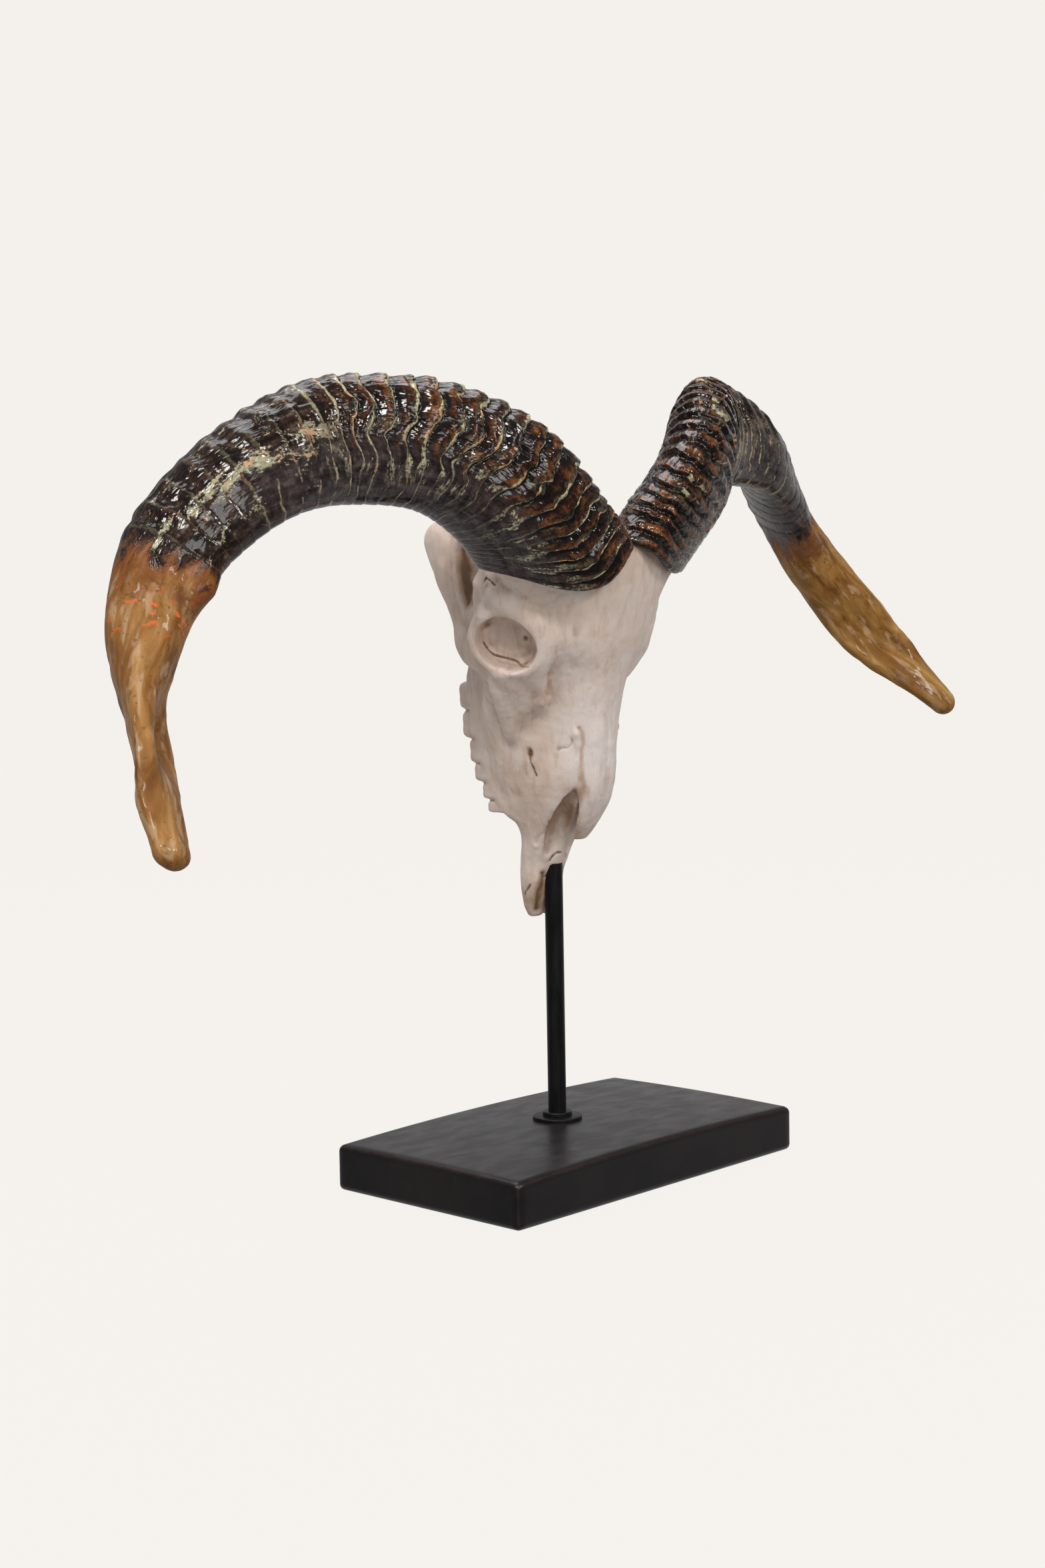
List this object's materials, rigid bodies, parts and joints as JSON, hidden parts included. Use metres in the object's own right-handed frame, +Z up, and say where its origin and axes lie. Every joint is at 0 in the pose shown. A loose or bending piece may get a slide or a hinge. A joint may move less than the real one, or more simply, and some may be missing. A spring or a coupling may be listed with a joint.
{
  "type": "resin ram skull on a stand",
  "caption": "Life-size decorative ram skull cast in painted resin, with sweeping lacquered horns, held nose down on a rod over a black rectangular block.",
  "frame": {"origin": "centre of the block's underside, which rests on the table", "axes": "+Z up; X along the block's long edge and the spread of the horns; the skull faces -Y and its own right side is at -X"},
  "size_m": [0.7989, 0.1705, 0.5314],
  "materials": {
    "resin_bone": "cast resin painted as old bone: warm off-white with a brown wash in the hollows, satin",
    "lacquered_horn": "cast resin painted near black with sienna and cream streaks on the rings, under glossy clear lacquer",
    "horn_tip": "cast resin painted ochre and tan with brown streaks, semi-gloss lacquer",
    "black_metal": "satin black paint on a steel rod, flange and collar",
    "black_block": "satin black paint on a wooden block, a little brown where the edges are rubbed"
  },
  "bodies": {
    "root": {"horn_right_base": "lacquered_horn", "horn_right_arch": "lacquered_horn", "horn_right_tip": "horn_tip", "horn_left_base": "lacquered_horn", "horn_left_arch": "lacquered_horn", "horn_left_tip": "horn_tip", "skull_cranium": "resin_bone", "skull_face": "resin_bone", "skull_nasals": "resin_bone", "skull_muzzle": "resin_bone", "stand_block": "black_block", "stand_flange": "black_metal", "stand_collar": "black_metal", "stand_rod": "black_metal"}
  },
  "joints": []
}
